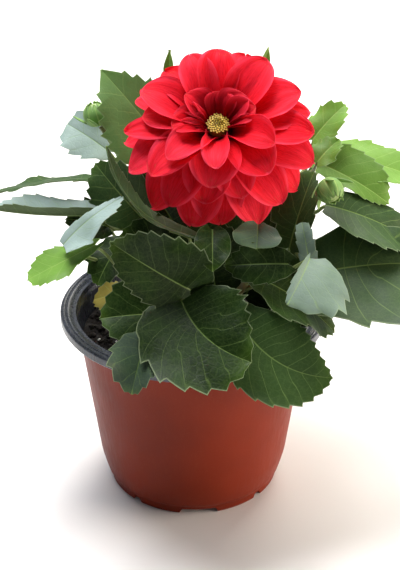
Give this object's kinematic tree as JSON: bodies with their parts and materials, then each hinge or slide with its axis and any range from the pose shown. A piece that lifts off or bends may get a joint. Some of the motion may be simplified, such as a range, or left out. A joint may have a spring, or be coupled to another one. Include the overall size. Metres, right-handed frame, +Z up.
{
  "type": "potted dahlia",
  "caption": "Bushy bedding dahlia with one open double red bloom and toothed leaves, growing in a terracotta-coloured plastic nursery pot.",
  "frame": {"origin": "centre of the pot's foot, on the plane it stands on", "axes": "+Z up along the pot's axis, -Y towards the side that the bloom faces, +X to the right as seen from there"},
  "size_m": [0.2155, 0.1778, 0.2226],
  "materials": {
    "pot_terracotta": "satin thin-walled plastic, terracotta brown",
    "pot_black": "satin black inner layer and rolled rim",
    "potting_mix": "moist dark peat and bark crumbs with pale perlite",
    "leaf_green": "semi-gloss toothed leaves with paler veins and undersides",
    "leaf_yellow": "withering yellowed leaf",
    "petal_red": "velvety crimson petals with pinker edges",
    "disc_yellow": "yellow florets with a greenish middle"
  },
  "bodies": {
    "root": {"pot": "pot_terracotta", "potting_mix": "potting_mix", "flowering_stem": "leaf_green", "left_stem": "leaf_green", "right_stem": "leaf_green", "front_left_stem": "leaf_green", "front_right_stem": "leaf_green", "back_stem": "leaf_green", "back_right_stem": "leaf_green", "yellowed_leaf": "leaf_yellow", "bloom_petals": "petal_red", "bloom_disc": "disc_yellow"}
  },
  "joints": []
}
